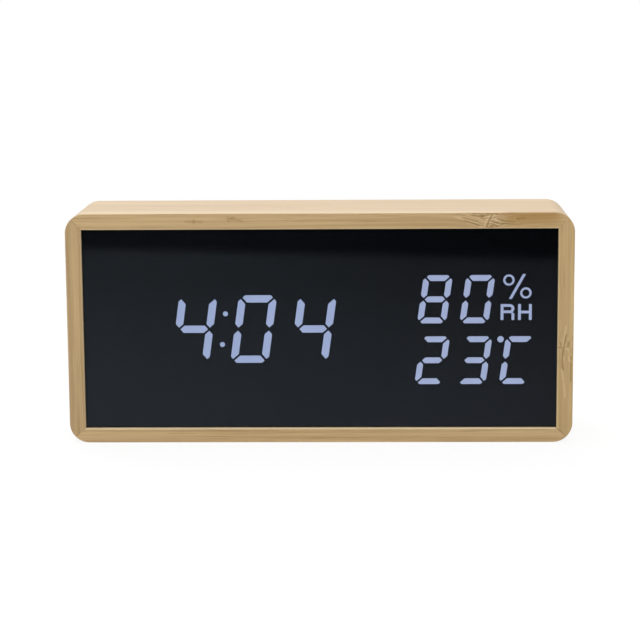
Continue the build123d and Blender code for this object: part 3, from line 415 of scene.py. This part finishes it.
clear_gloss = {"Roughness": 0.03, "IOR": 1.49, "Transmission Weight": 1.0}
lens_finish = mottled("smoked_acrylic", 0.05, (0.47, 0.48, 0.5), (0.52, 0.53, 0.55), clear_gloss, 1.0)
dress(lens_finish, "front_lens")

# Display: mask, reflector and bars
# A black printed film with a window for each bar lies on a white moulded reflector with a well for each.
# The bars are cast milky resin; those that are lit now glow a cool lavender, the small ones whiter.
soot_low, soot_high = (0.007, 0.0078, 0.009), (0.009, 0.01, 0.0115)
for name, scale, roughness, dressed in (
    ("mask_black", 3.0, 0.7, "display_mask"), ("unlit_bar", 0.8, 0.6, "dark_segments"),
):
    matt = {"Roughness": roughness, "Specular IOR Level": 0.0}
    dress(mottled(name, scale, soot_low, soot_high, matt), dressed)

reflector_finish, start = new_finish("reflector_white")
moulded = cloud(start, 0.6, 3.0)
normal = start.add("Bump", None, {"Strength": 0.2, "Distance": 0.02 * mm, "Height": moulded})
surface(start, {
    "Base Color": moulded.between((0.7, 0.7, 0.69), (0.8, 0.8, 0.79)), "Roughness": 0.45, "Normal": normal,
})
dress(reflector_finish, "display_reflector")

for name, low_glow, high_glow, dressed in (
    ("lit_time", (0.366, 0.443, 0.68), (0.415, 0.495, 0.731), "time_segments"),
    ("lit_climate", (0.393, 0.459, 0.684), (0.445, 0.513, 0.735), "climate_segments"),
):
    lit_finish, start = new_finish(name)
    resin = cloud(start, 0.35)
    surface(start, {
        "Base Color": resin.between((0.02, 0.02, 0.025), (0.03, 0.03, 0.035)), "Roughness": 0.5,
        "Emission Color": resin.between(low_glow, high_glow), "Emission Strength": 1.72,
    })
    dress(lit_finish, dressed)

led_finish = mottled("led_yellow", 4.0, (0.62, 0.5, 0.1), (0.75, 0.62, 0.16), {"Roughness": 0.35})
dress(led_finish, "led_chips")

# Circuit boards
# Two boards of glass-filled resin under green solder mask, with copper tracks showing as paler lines.
# The larger one closes the reflector; the smaller one is screwed to the rear cover.
track_pitch_x, track_pitch_z = 1.9, 2.3
board_finish, start = new_finish("board_green")
x, y, z = place_in_mm(start)
track_x = abs(start.math("FRACT", x / track_pitch_x) - 0.5)
track_z = abs(start.math("FRACT", z / track_pitch_z) - 0.5)
area = cloud(start, 0.09, 0.0)
tracks = track_x.ease(0.16, 0.12) * area.ease(0.5, 0.52) + track_z.ease(0.14, 0.1) * area.ease(0.48, 0.46)
green = cloud(start, 2.0).between((0.012, 0.1, 0.035), (0.018, 0.13, 0.048))
colour = (tracks * 0.6).between(green, (0.05, 0.24, 0.1))
surface(start, {"Base Color": colour, "Roughness": 0.3, "Coat Weight": 0.3})
dress(board_finish, "display_board", "control_board")

# Parts on the boards
# Chip, switches, sensors and buzzer are moulded black resin; the legs, crystal can and socket shell are
# plated steel. The capacitor has a printed plastic sleeve and the plugs are white nylon.
chip_finish, start = new_finish("chip_black")
moulded = cloud(start, 5.0)
normal = start.add("Bump", None, {"Strength": 0.3, "Distance": 0.03 * mm, "Height": moulded})
black = moulded.between((0.014, 0.014, 0.015), (0.026, 0.026, 0.028))
surface(start, {"Base Color": black, "Roughness": 0.5, "Normal": normal})
dress(chip_finish, "controller_chip", "switch_bodies", "humidity_sensor", "thermistor", "buzzer")
dress(chip_finish, "socket_tongue")

steel_finish, start = new_finish("plated_steel")
plating = cloud(start, 0.9, 3.0)
steel = plating.between((0.58, 0.57, 0.55), (0.72, 0.71, 0.69))
surface(start, {"Base Color": steel, "Metallic": 1.0, "Roughness": 0.22 + plating * 0.2})
dress(steel_finish, "chip_legs", "crystal", "socket_shell", "control_screws", "cover_screws")
dress(steel_finish, "negative_contact", "positive_contact", "left_bridge", "right_bridge")

sleeve_low, sleeve_high = (0.012, 0.02, 0.06), (0.02, 0.032, 0.085)
dress(mottled("capacitor_sleeve", 1.5, sleeve_low, sleeve_high, {"Roughness": 0.3}), "capacitor")
nylon_low, nylon_high = (0.66, 0.64, 0.57), (0.74, 0.72, 0.66)
nylon_finish = mottled("plug_white", 1.2, nylon_low, nylon_high, {"Roughness": 0.4})
dress(nylon_finish, "display_plug", "control_plug")

# Wiring
# A flat grey ribbon joins the two boards, and a red and a black lead come from the battery contacts.
# All are soft vinyl over stranded copper.
for name, vinyl_low, vinyl_high, dressed in (
    ("ribbon_grey", (0.3, 0.31, 0.32), (0.38, 0.39, 0.4), "ribbon_cable"),
    ("lead_red", (0.4, 0.012, 0.01), (0.5, 0.02, 0.016), "red_lead"),
    ("lead_black", (0.012, 0.012, 0.012), (0.022, 0.022, 0.022), "black_lead"),
):
    dress(mottled(name, 1.0, vinyl_low, vinyl_high, {"Roughness": 0.45}), dressed)

# Corner blocks
# Four square blocks of beech, sawn to length, drilled, stained black and glued behind the lens.
# The long cover screws bite into them.
stained_finish, start = new_finish("block_wood")
x, y, z = place_in_mm(start)
rays = grain(start, x * 2.0, y * 0.3, z * 2.0, 3.0)
rays = rays.between((0.006, 0.006, 0.006), (0.02, 0.017, 0.014))
surface(start, {"Base Color": rays, "Roughness": 0.7})
dress(stained_finish, "corner_blocks")

# Rear cover and battery door
# Both are injection moulded in black ABS from a spark-eroded tool, so their faces have an even fine grain.
# The cover lies in the boards' rabbet under four screws, and the door hooks into it at its foot.
cover_round, door_round, round_from, merge_reach = 0.12 * mm, 0.15 * mm, math.radians(50.0), 0.001 * mm
vents_low, vents_high = np.array([(1.8, 14.0, 37.8), (12.0, 18.0, 44.9)]) * mm
abs_finish, start = new_finish("cover_black")
spark, flow = cloud(start, 4.5, 2.0, 0.6), cloud(start, 0.05)
normal = start.add("Bump", None, {"Strength": 0.5, "Distance": 0.04 * mm, "Height": spark})
black = (spark * 0.6 + flow * 0.4).between((0.012, 0.012, 0.013), (0.03, 0.03, 0.031))
surface(start, {"Base Color": black, "Roughness": 0.46 + spark * 0.16, "Normal": normal})


def softened(name, source, finish, body, width):
    """A merged copy of a CAD node whose sharp edges have a small round, as a moulding's have. The edges of
    the narrow vents stay sharp."""
    shell = bmesh.new()
    shell.from_mesh(node[source].data)
    bmesh.ops.remove_doubles(shell, verts=shell.verts, dist=merge_reach)
    turn = np.array([edge.calc_face_angle(0.0) for edge in shell.edges])
    middle = np.array([(edge.verts[0].co + edge.verts[1].co) / 2 for edge in shell.edges])
    at_vents = np.all((middle > vents_low) & (middle < vents_high), axis=1)
    mesh = bpy.data.meshes.new(name)
    shell.to_mesh(mesh)
    shell.free()
    weight = np.where(at_vents, 0.0, turn > round_from)
    mesh.attributes.new("bevel_weight_edge", "FLOAT", "EDGE").data.foreach_set("value", weight)
    mesh.materials.clear()
    mesh.materials.append(finish)
    piece = put(name, mesh)
    rounding = piece.modifiers.new("rounding", "BEVEL")
    rounding.width, rounding.segments, rounding.use_clamp_overlap = width, 2, False
    rounding.limit_method, rounding.harden_normals = "WEIGHT", True
    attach(piece, body)
    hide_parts(source)


softened("cover_moulding", "rear_cover", abs_finish, "case", cover_round)
softened("door_moulding", "battery_door", abs_finish, "battery_door", door_round)

# Cells and springs
# Three AAA cells in plain printed film over a plated can, laid in series with the middle one turned round.
# A coil spring of plated wire presses on each flat end.
cell_rows, cell_turns = np.array([23.6, 34.7, 45.8]) * mm, (1, -1, 1)
cell_y, bay_x, bay_half = 10.85 * mm, -35.88 * mm, 25.1 * mm
spring_space, contact_thickness = 5.0 * mm, 0.4 * mm
cell_radius, cell_length, nub_radius, nub_height = 5.2 * mm, 44.5 * mm, 1.9 * mm, 0.8 * mm
film_round, nub_round, pole, round_sides = 0.5 * mm, 0.3 * mm, 0.02 * mm, 64


def turned(profile, origin, axis, first, sides):
    """A profile of height and radius carried round an axis, as rings that advance along it."""
    axis, first = np.array(axis, float), np.array(first, float)
    angle = np.linspace(0.0, 2 * math.pi, sides, endpoint=False)[:, None]
    spoke = np.cos(angle) * first + np.sin(angle) * np.cross(axis, first)
    height, radius = profile[:, 0, None, None], profile[:, 1, None, None]
    return np.array(origin, float) + height * axis + radius * spoke


def rounded_step(height, radius, round_radius, first_turn, last_turn):
    """Points on an arc round a centre at this height and radius, from one angle to another in degrees."""
    turn = np.radians(np.linspace(first_turn, last_turn, round_steps))
    return np.stack([height + round_radius * np.sin(turn), radius + round_radius * np.cos(turn)], 1)


def cell_profile():
    """From the flat end: a sunk disc, the film's rounded rim, the can, the rim again, a washer, the nub."""
    can_length, sunk = cell_length - nub_height, 0.15 * mm
    rim = cell_radius - film_round
    disc = np.array([(sunk, pole), (sunk, rim * 0.78), (0.0, rim * 0.84)])
    low_rim = rounded_step(film_round, rim, film_round, -90.0, 0.0)
    high_rim = rounded_step(can_length - film_round, rim, film_round, 0.0, 90.0)
    seat = can_length - sunk
    washer = np.array([(can_length, rim * 0.92), (seat, rim * 0.86), (seat, nub_radius)])
    nub = rounded_step(cell_length - nub_round, nub_radius - nub_round, nub_round, 0.0, 90.0)
    return np.concatenate([disc, low_rim, high_rim, washer, nub, [(cell_length, pole)]])


# The print's edges, each from nothing to full, in millimetres from the flat end or from a sign's middle.
film_foot, film_head, band_foot = (0.3, 0.4), (43.55, 43.45), (33.9, 34.1)
stripe_foot, stripe_head = (32.0, 32.2), (33.0, 32.8)
plus_at, minus_at, sign_end, sign_side = 38.6, 5.0, (1.7, 1.6), (0.4, 0.3)
cell_finish, start = new_finish("cell_jacket")
along = start.add("Attribute", {"attribute_name": "along"}, out=2)
around = start.add("Attribute", {"attribute_name": "around"}, out=2)
x, y, z = place_in_mm(start)
film = grain(start, x * 0.4, y * 0.8, z * 0.8)
is_film = along.ease(*film_foot) * along.ease(*film_head)
blue = film.between((0.022, 0.06, 0.13), (0.032, 0.08, 0.17))
white = film.between((0.55, 0.55, 0.53), (0.64, 0.64, 0.62))
jacket = along.ease(*band_foot).between(blue, white)
jacket = (along.ease(*stripe_foot) * along.ease(*stripe_head)).between(jacket, (0.5, 0.2, 0.03))
plus_run, sign_turn = abs(along - plus_at), abs(around)
plus = start.math("MAXIMUM", plus_run.ease(*sign_end) * sign_turn.ease(*sign_side),
                  plus_run.ease(*sign_side) * sign_turn.ease(*sign_end))
minus = abs(along - minus_at).ease(*sign_end) * sign_turn.ease(*sign_side)
jacket = plus.between(jacket, (0.03, 0.03, 0.035))
jacket = minus.between(jacket, (0.6, 0.6, 0.58))
can_tone = film.between((0.6, 0.59, 0.57), (0.72, 0.71, 0.69))
surface(start, {
    "Base Color": is_film.between(can_tone, jacket), "Metallic": 1.0 - is_film,
    "Roughness": 0.26 + film * 0.12, "Coat Weight": is_film * 0.35,
})
profile = cell_profile()
arc = np.linspace(0.0, 2 * math.pi, round_sides, endpoint=False)
arc = np.where(arc > math.pi, arc - 2 * math.pi, arc) * cell_radius / mm
traits = {"along": np.repeat(profile[:, 0] / mm, round_sides), "around": np.tile(arc, len(profile))}
for number, (row, turn) in enumerate(zip(cell_rows, cell_turns), 1):
    flat_end = (bay_x + turn * (spring_space - bay_half), cell_y, row)
    rings = turned(profile, flat_end, (turn, 0, 0), (0, 1, 0), round_sides)
    cell = skin(f"cell_{number}", [rings], cell_finish, "case", traits=traits)
    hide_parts(f"aaa_cell_{number}")

spring_wire, spring_base, spring_top, spring_turns, wire_room = 0.6 * mm, 3.6 * mm, 2.3 * mm, 3, 0.15 * mm
steps_a_turn, wire_sides = 40, 10


def coil_rings(seat, turn):
    """A round wire carried along a cone's helix: the radius shrinks and the height grows with the angle."""
    share = np.linspace(0.0, 1.0, steps_a_turn * spring_turns + 1)
    angle = 2 * math.pi * spring_turns * share
    radius = spring_base + (spring_top - spring_base) * share
    rise = spring_space - contact_thickness - spring_wire - 2 * wire_room
    height = spring_wire / 2 + wire_room + rise * share
    spoke = np.stack([0 * angle, np.sin(angle), -turn * np.cos(angle)], 1)
    path = np.array(seat) + radius[:, None] * spoke + height[:, None] * np.array([turn, 0.0, 0.0])
    heading = np.gradient(path, axis=0)
    heading /= np.linalg.norm(heading, axis=1)[:, None]
    outward = spoke - heading * np.sum(spoke * heading, 1)[:, None]
    outward /= np.linalg.norm(outward, axis=1)[:, None]
    across = np.cross(heading, outward)
    wire = np.linspace(0.0, 2 * math.pi, wire_sides, endpoint=False)[None, :, None]
    ring = np.cos(wire) * outward[:, None] + np.sin(wire) * across[:, None]
    return path[:, None] + spring_wire / 2 * ring


coils = []
for row, turn in zip(cell_rows, cell_turns):
    coils.append(coil_rings((bay_x + turn * (contact_thickness - bay_half), cell_y, row), turn))
springs = skin("coil_springs", coils, steel_finish, "case", sharp=60.0)
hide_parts("contact_springs")

# Keys
# Three round keys moulded in black ABS with a dished face, held behind the cover by their flanges.
# Each stands on the plunger of its own switch and has a pale printed sign: a ring, an arrow up or one down.
key_face_y, key_z = 18.5 * mm, 27.35 * mm
key_radius, key_flange_radius, key_stem_radius = 3.5 * mm, 4.4 * mm, 1.6 * mm
key_round, key_dish, dish_steps = 0.4 * mm, 0.15 * mm, 9
key_flange_from, key_flange_to, key_height = 3.05 * mm, 4.05 * mm, 4.85 * mm
sign_top, sign_foot, sign_reach, sign_sides = 0.115 * mm, 0.17 * mm, 1.25 * mm, 48
ring_inner, ring_outer, ring_floor = 0.6, 0.88, sign_foot * 0.97
key_finish, start = new_finish("button_black")
polish = cloud(start, 6.0)
black = polish.between((0.02, 0.02, 0.021), (0.034, 0.034, 0.035))
surface(start, {"Base Color": black, "Roughness": 0.34 + polish * 0.1})
sign_finish = mottled("key_print", 8.0, (0.5, 0.5, 0.5), (0.62, 0.62, 0.61), {"Roughness": 0.55})


def key_profile():
    """From the face: a shallow dish, a rounded edge, the side, the flange and the stem."""
    share = np.linspace(0.01, 1.0, dish_steps)
    face = np.stack([key_dish * (1 - share**2), share * (key_radius - key_round)], 1)
    edge = rounded_step(key_round, key_radius - key_round, key_round, -90.0, 0.0)[1:]
    rest = np.array([
        (key_flange_from, key_radius), (key_flange_from, key_flange_radius),
        (key_flange_to, key_flange_radius), (key_flange_to, key_stem_radius),
        (key_height, key_stem_radius), (key_height, pole),
    ])
    return np.concatenate([face, edge, rest])


def sign_rings(x, corners):
    """A flat printed sign on a key's face, from its outline to its foot in the dish."""
    depth = np.array([sign_top, sign_foot])[:, None]
    outline = np.array(corners)[None] * sign_reach
    across, up = np.broadcast_arrays(outline[..., 0], outline[..., 1] + 0 * depth)
    return np.stack([x + across, key_face_y - depth + 0 * up, key_z + up], 2)


arrow_up = [(-0.9, -0.55), (0.9, -0.55), (0.0, 0.9)]
arrow_down = [(across, -up) for across, up in arrow_up[::-1]]
# The ring's inner face lies a hair above its foot, so that its two end faces don't meet.
ring_section = np.array([
    (ring_floor, ring_inner), (sign_top, ring_inner), (sign_top, ring_outer), (sign_foot, ring_outer),
]) * (1.0, sign_reach)
for name, key_x in (("set", 44.4 * mm), ("up", 30.4 * mm), ("down", 16.4 * mm)):
    origin = (key_x, key_face_y, key_z)
    rings = turned(key_profile(), origin, (0, -1, 0), (1, 0, 0), round_sides)
    key = skin(f"{name}_key_cap", [rings], key_finish, f"{name}_key")
    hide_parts(f"{name}_button")
    if name == "set":
        rings = turned(ring_section, origin, (0, -1, 0), (1, 0, 0), sign_sides)
    else:
        rings = sign_rings(key_x, arrow_up if name == "up" else arrow_down)
    skin(f"{name}_sign", [rings], sign_finish, f"{name}_key")

plunger_low, plunger_high = (0.015, 0.015, 0.016), (0.026, 0.026, 0.027)
plunger_finish = mottled("plunger_black", 6.0, plunger_low, plunger_high, {"Roughness": 0.4})
dress(plunger_finish, "set_plunger", "up_plunger", "down_plunger")

# Table and studio
# A white table top. What the lens mirrors of it is a painted reflection: a dim emission seen only by glossy
# and transmission rays, paler near the clock and to the left, which ends at a soft edge in a painted dark
# room in front of the clock.
# Soft boxes hang above, in front and behind; the front one gives no glare on the top board.
table_half = 4.0
shade_from_mm, shade_to_mm = 200.0, 600.0
mirror_width_mm, mirror_depth_mm, mirror_near = 190.0, 325.0, 1.14
edge_slope, edge_from_mm, edge_to_mm = 0.205, -422.0, -472.0
table_finish, start = new_finish("table_white")
x, y, z = place_in_mm(start)
path = start.add("LightPath")
reflected = start.math("MAXIMUM", path.output("Is Glossy Ray"), path.output("Is Transmission Ray"))
seen = start.math("MAXIMUM", path.output("Is Camera Ray"), reflected)
# Painted reflection: the tones that glossy and transmission rays see on the table, ending in a painted dark
# room.
leftness, nearness = 0.5 - x / mirror_width_mm, y / mirror_depth_mm + mirror_near
far_tone = leftness.between((0.124, 0.136, 0.164), (0.207, 0.252, 0.296))
near_tone = leftness.between((0.223, 0.249, 0.298), (0.343, 0.413, 0.484))
past_edge = (y - x * edge_slope).ease(edge_from_mm, edge_to_mm)
painted_dark_room = leftness.between((0.016, 0.022, 0.028), (0.052, 0.055, 0.07))
painted_reflection = past_edge.between(nearness.between(far_tone, near_tone), painted_dark_room)
far = start.math("SQRT", x * x + y * y).ease(shade_from_mm, shade_to_mm)
glow = start.add("Emission", None, {"Color": far.between((0.9, 0.9, 0.9), (1.0, 1.0, 1.0))})
shade = start.add("BsdfDiffuse", None, {"Color": far.between((0.1, 0.1, 0.1), (0.0, 0.0, 0.0))})
white_view = start.add("AddShader", None, {0: glow, 1: shade})
painted_reflection_view = start.add("Emission", None, {"Color": painted_reflection})
view = start.add("MixShader", None, {0: reflected, 1: white_view, 2: painted_reflection_view})
bounce = start.add("BsdfDiffuse", None, {"Color": (0.88, 0.88, 0.88, 1.0)})
start.add("OutputMaterial", None, {"Surface": start.add("MixShader", None, {0: seen, 1: bounce, 2: view})})
table_corners = np.array([(-1, -1, 0), (1, -1, 0), (1, 1, 0), (-1, 1, 0)]) * table_half
table_mesh = bpy.data.meshes.new("table")
table_mesh.from_pydata(table_corners.tolist(), [], [(0, 1, 2, 3)])
table_mesh.materials.append(table_finish)
table = put("table", table_mesh)

world = bpy.data.worlds.new("studio")
world.use_nodes = True
world.node_tree.nodes.clear()
start = Tone(world.node_tree)
path = start.add("LightPath")
seen = start.math("MAXIMUM", path.output("Is Camera Ray"), path.output("Is Transmission Ray"))
seen = start.math("MAXIMUM", seen, path.output("Is Glossy Ray"))
ambient = start.add("Background", None, {"Color": (1, 1, 1, 1), "Strength": 0.42})
backdrop = start.add("Background", None, {"Color": (1, 1, 1, 1), "Strength": 1.0})
start.add("OutputWorld", None, {"Surface": start.add("MixShader", None, {0: seen, 1: ambient, 2: backdrop})})
bpy.context.scene.world = world

clock_middle, nearly_overhead = (0.0, 0.0, 0.03), 0.99


def stand(made, right, up, back, place):
    """Turns a lamp or the camera to these axes and puts it at a place."""
    columns = np.stack([right, up, back, place], 1)
    made.matrix_world = Matrix(np.vstack([columns, (0, 0, 0, 1)]).tolist())


def soft_box(name, place, width, height, watts):
    """A rectangular area lamp at a place, facing the clock."""
    lamp = bpy.data.lights.new(name, "AREA")
    lamp.shape, lamp.size, lamp.size_y, lamp.energy = "RECTANGLE", width, height, watts
    box = put(name, lamp)
    away = np.array(place) - clock_middle
    away /= np.linalg.norm(away)
    side = np.cross((0.0, 1.0, 0.0) if away[2] > nearly_overhead else (0.0, 0.0, 1.0), away)
    side /= np.linalg.norm(side)
    stand(box, side, np.cross(away, side), away, place)
    return box


soft_box("overhead_box", (-0.1, 0.0, 1.4), 1.6, 1.6, 14.9)
front_box = soft_box("front_box", (-0.12, -1.7, 0.35), 1.2, 0.7, 9.85)
front_box.visible_glossy = False
soft_box("rear_box", (-0.3, 1.2, 1.5), 1.2, 0.9, 14.0)

# Camera
# It stands a little right of the middle and looks ten degrees down, as the photograph was taken.
pitch, yaw, roll = (math.radians(angle) for angle in (10.13688, 1.55672, 0.39763))
forward = np.array([-math.sin(yaw) * math.cos(pitch), math.cos(yaw) * math.cos(pitch), -math.sin(pitch)])
level = np.array([math.cos(yaw), math.sin(yaw), 0.0])
raised = np.cross(level, forward)
right = level * math.cos(roll) - raised * math.sin(roll)
up = level * math.sin(roll) + raised * math.cos(roll)
eye = np.array([17.1726, -650.2250, 138.2662]) * mm
optics = bpy.data.cameras.new("camera")
optics.lens, optics.sensor_width, optics.shift_y = 121.5765, 36.0, 0.0605
optics.clip_start, optics.clip_end = 0.01, 20.0
camera = put("camera", optics)
stand(camera, right, up, -forward, eye)
bpy.context.scene.camera = camera
bpy.context.scene.view_settings.view_transform = "Standard"
